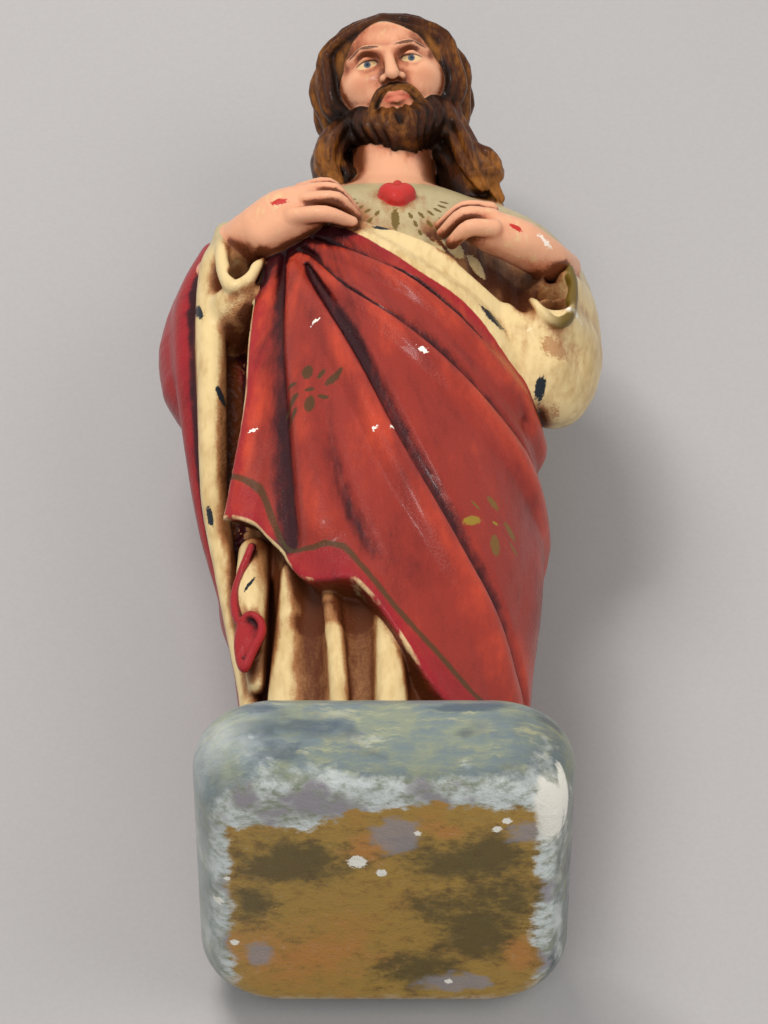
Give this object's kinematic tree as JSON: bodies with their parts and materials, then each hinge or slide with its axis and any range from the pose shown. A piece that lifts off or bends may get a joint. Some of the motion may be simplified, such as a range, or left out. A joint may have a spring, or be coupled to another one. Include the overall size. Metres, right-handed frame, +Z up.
{
  "type": "jesus statue",
  "caption": "Small painted plaster figure of a robed, bearded man showing the heart on his chest, cast in one with a cushion-shaped plinth.",
  "frame": {"origin": "middle of the flat underside of the plinth", "axes": "+Z up along the standing figure, the figure faces -Y, +X to the right of somebody who faces it"},
  "size_m": [0.0715, 0.058, 0.1813],
  "materials": {
    "painted_plaster": "hand-painted cast plaster, semi-gloss varnish over flat colours, worn and chipped in places"
  },
  "bodies": {
    "root": {"sacred_heart_statue": "painted_plaster"}
  },
  "joints": []
}
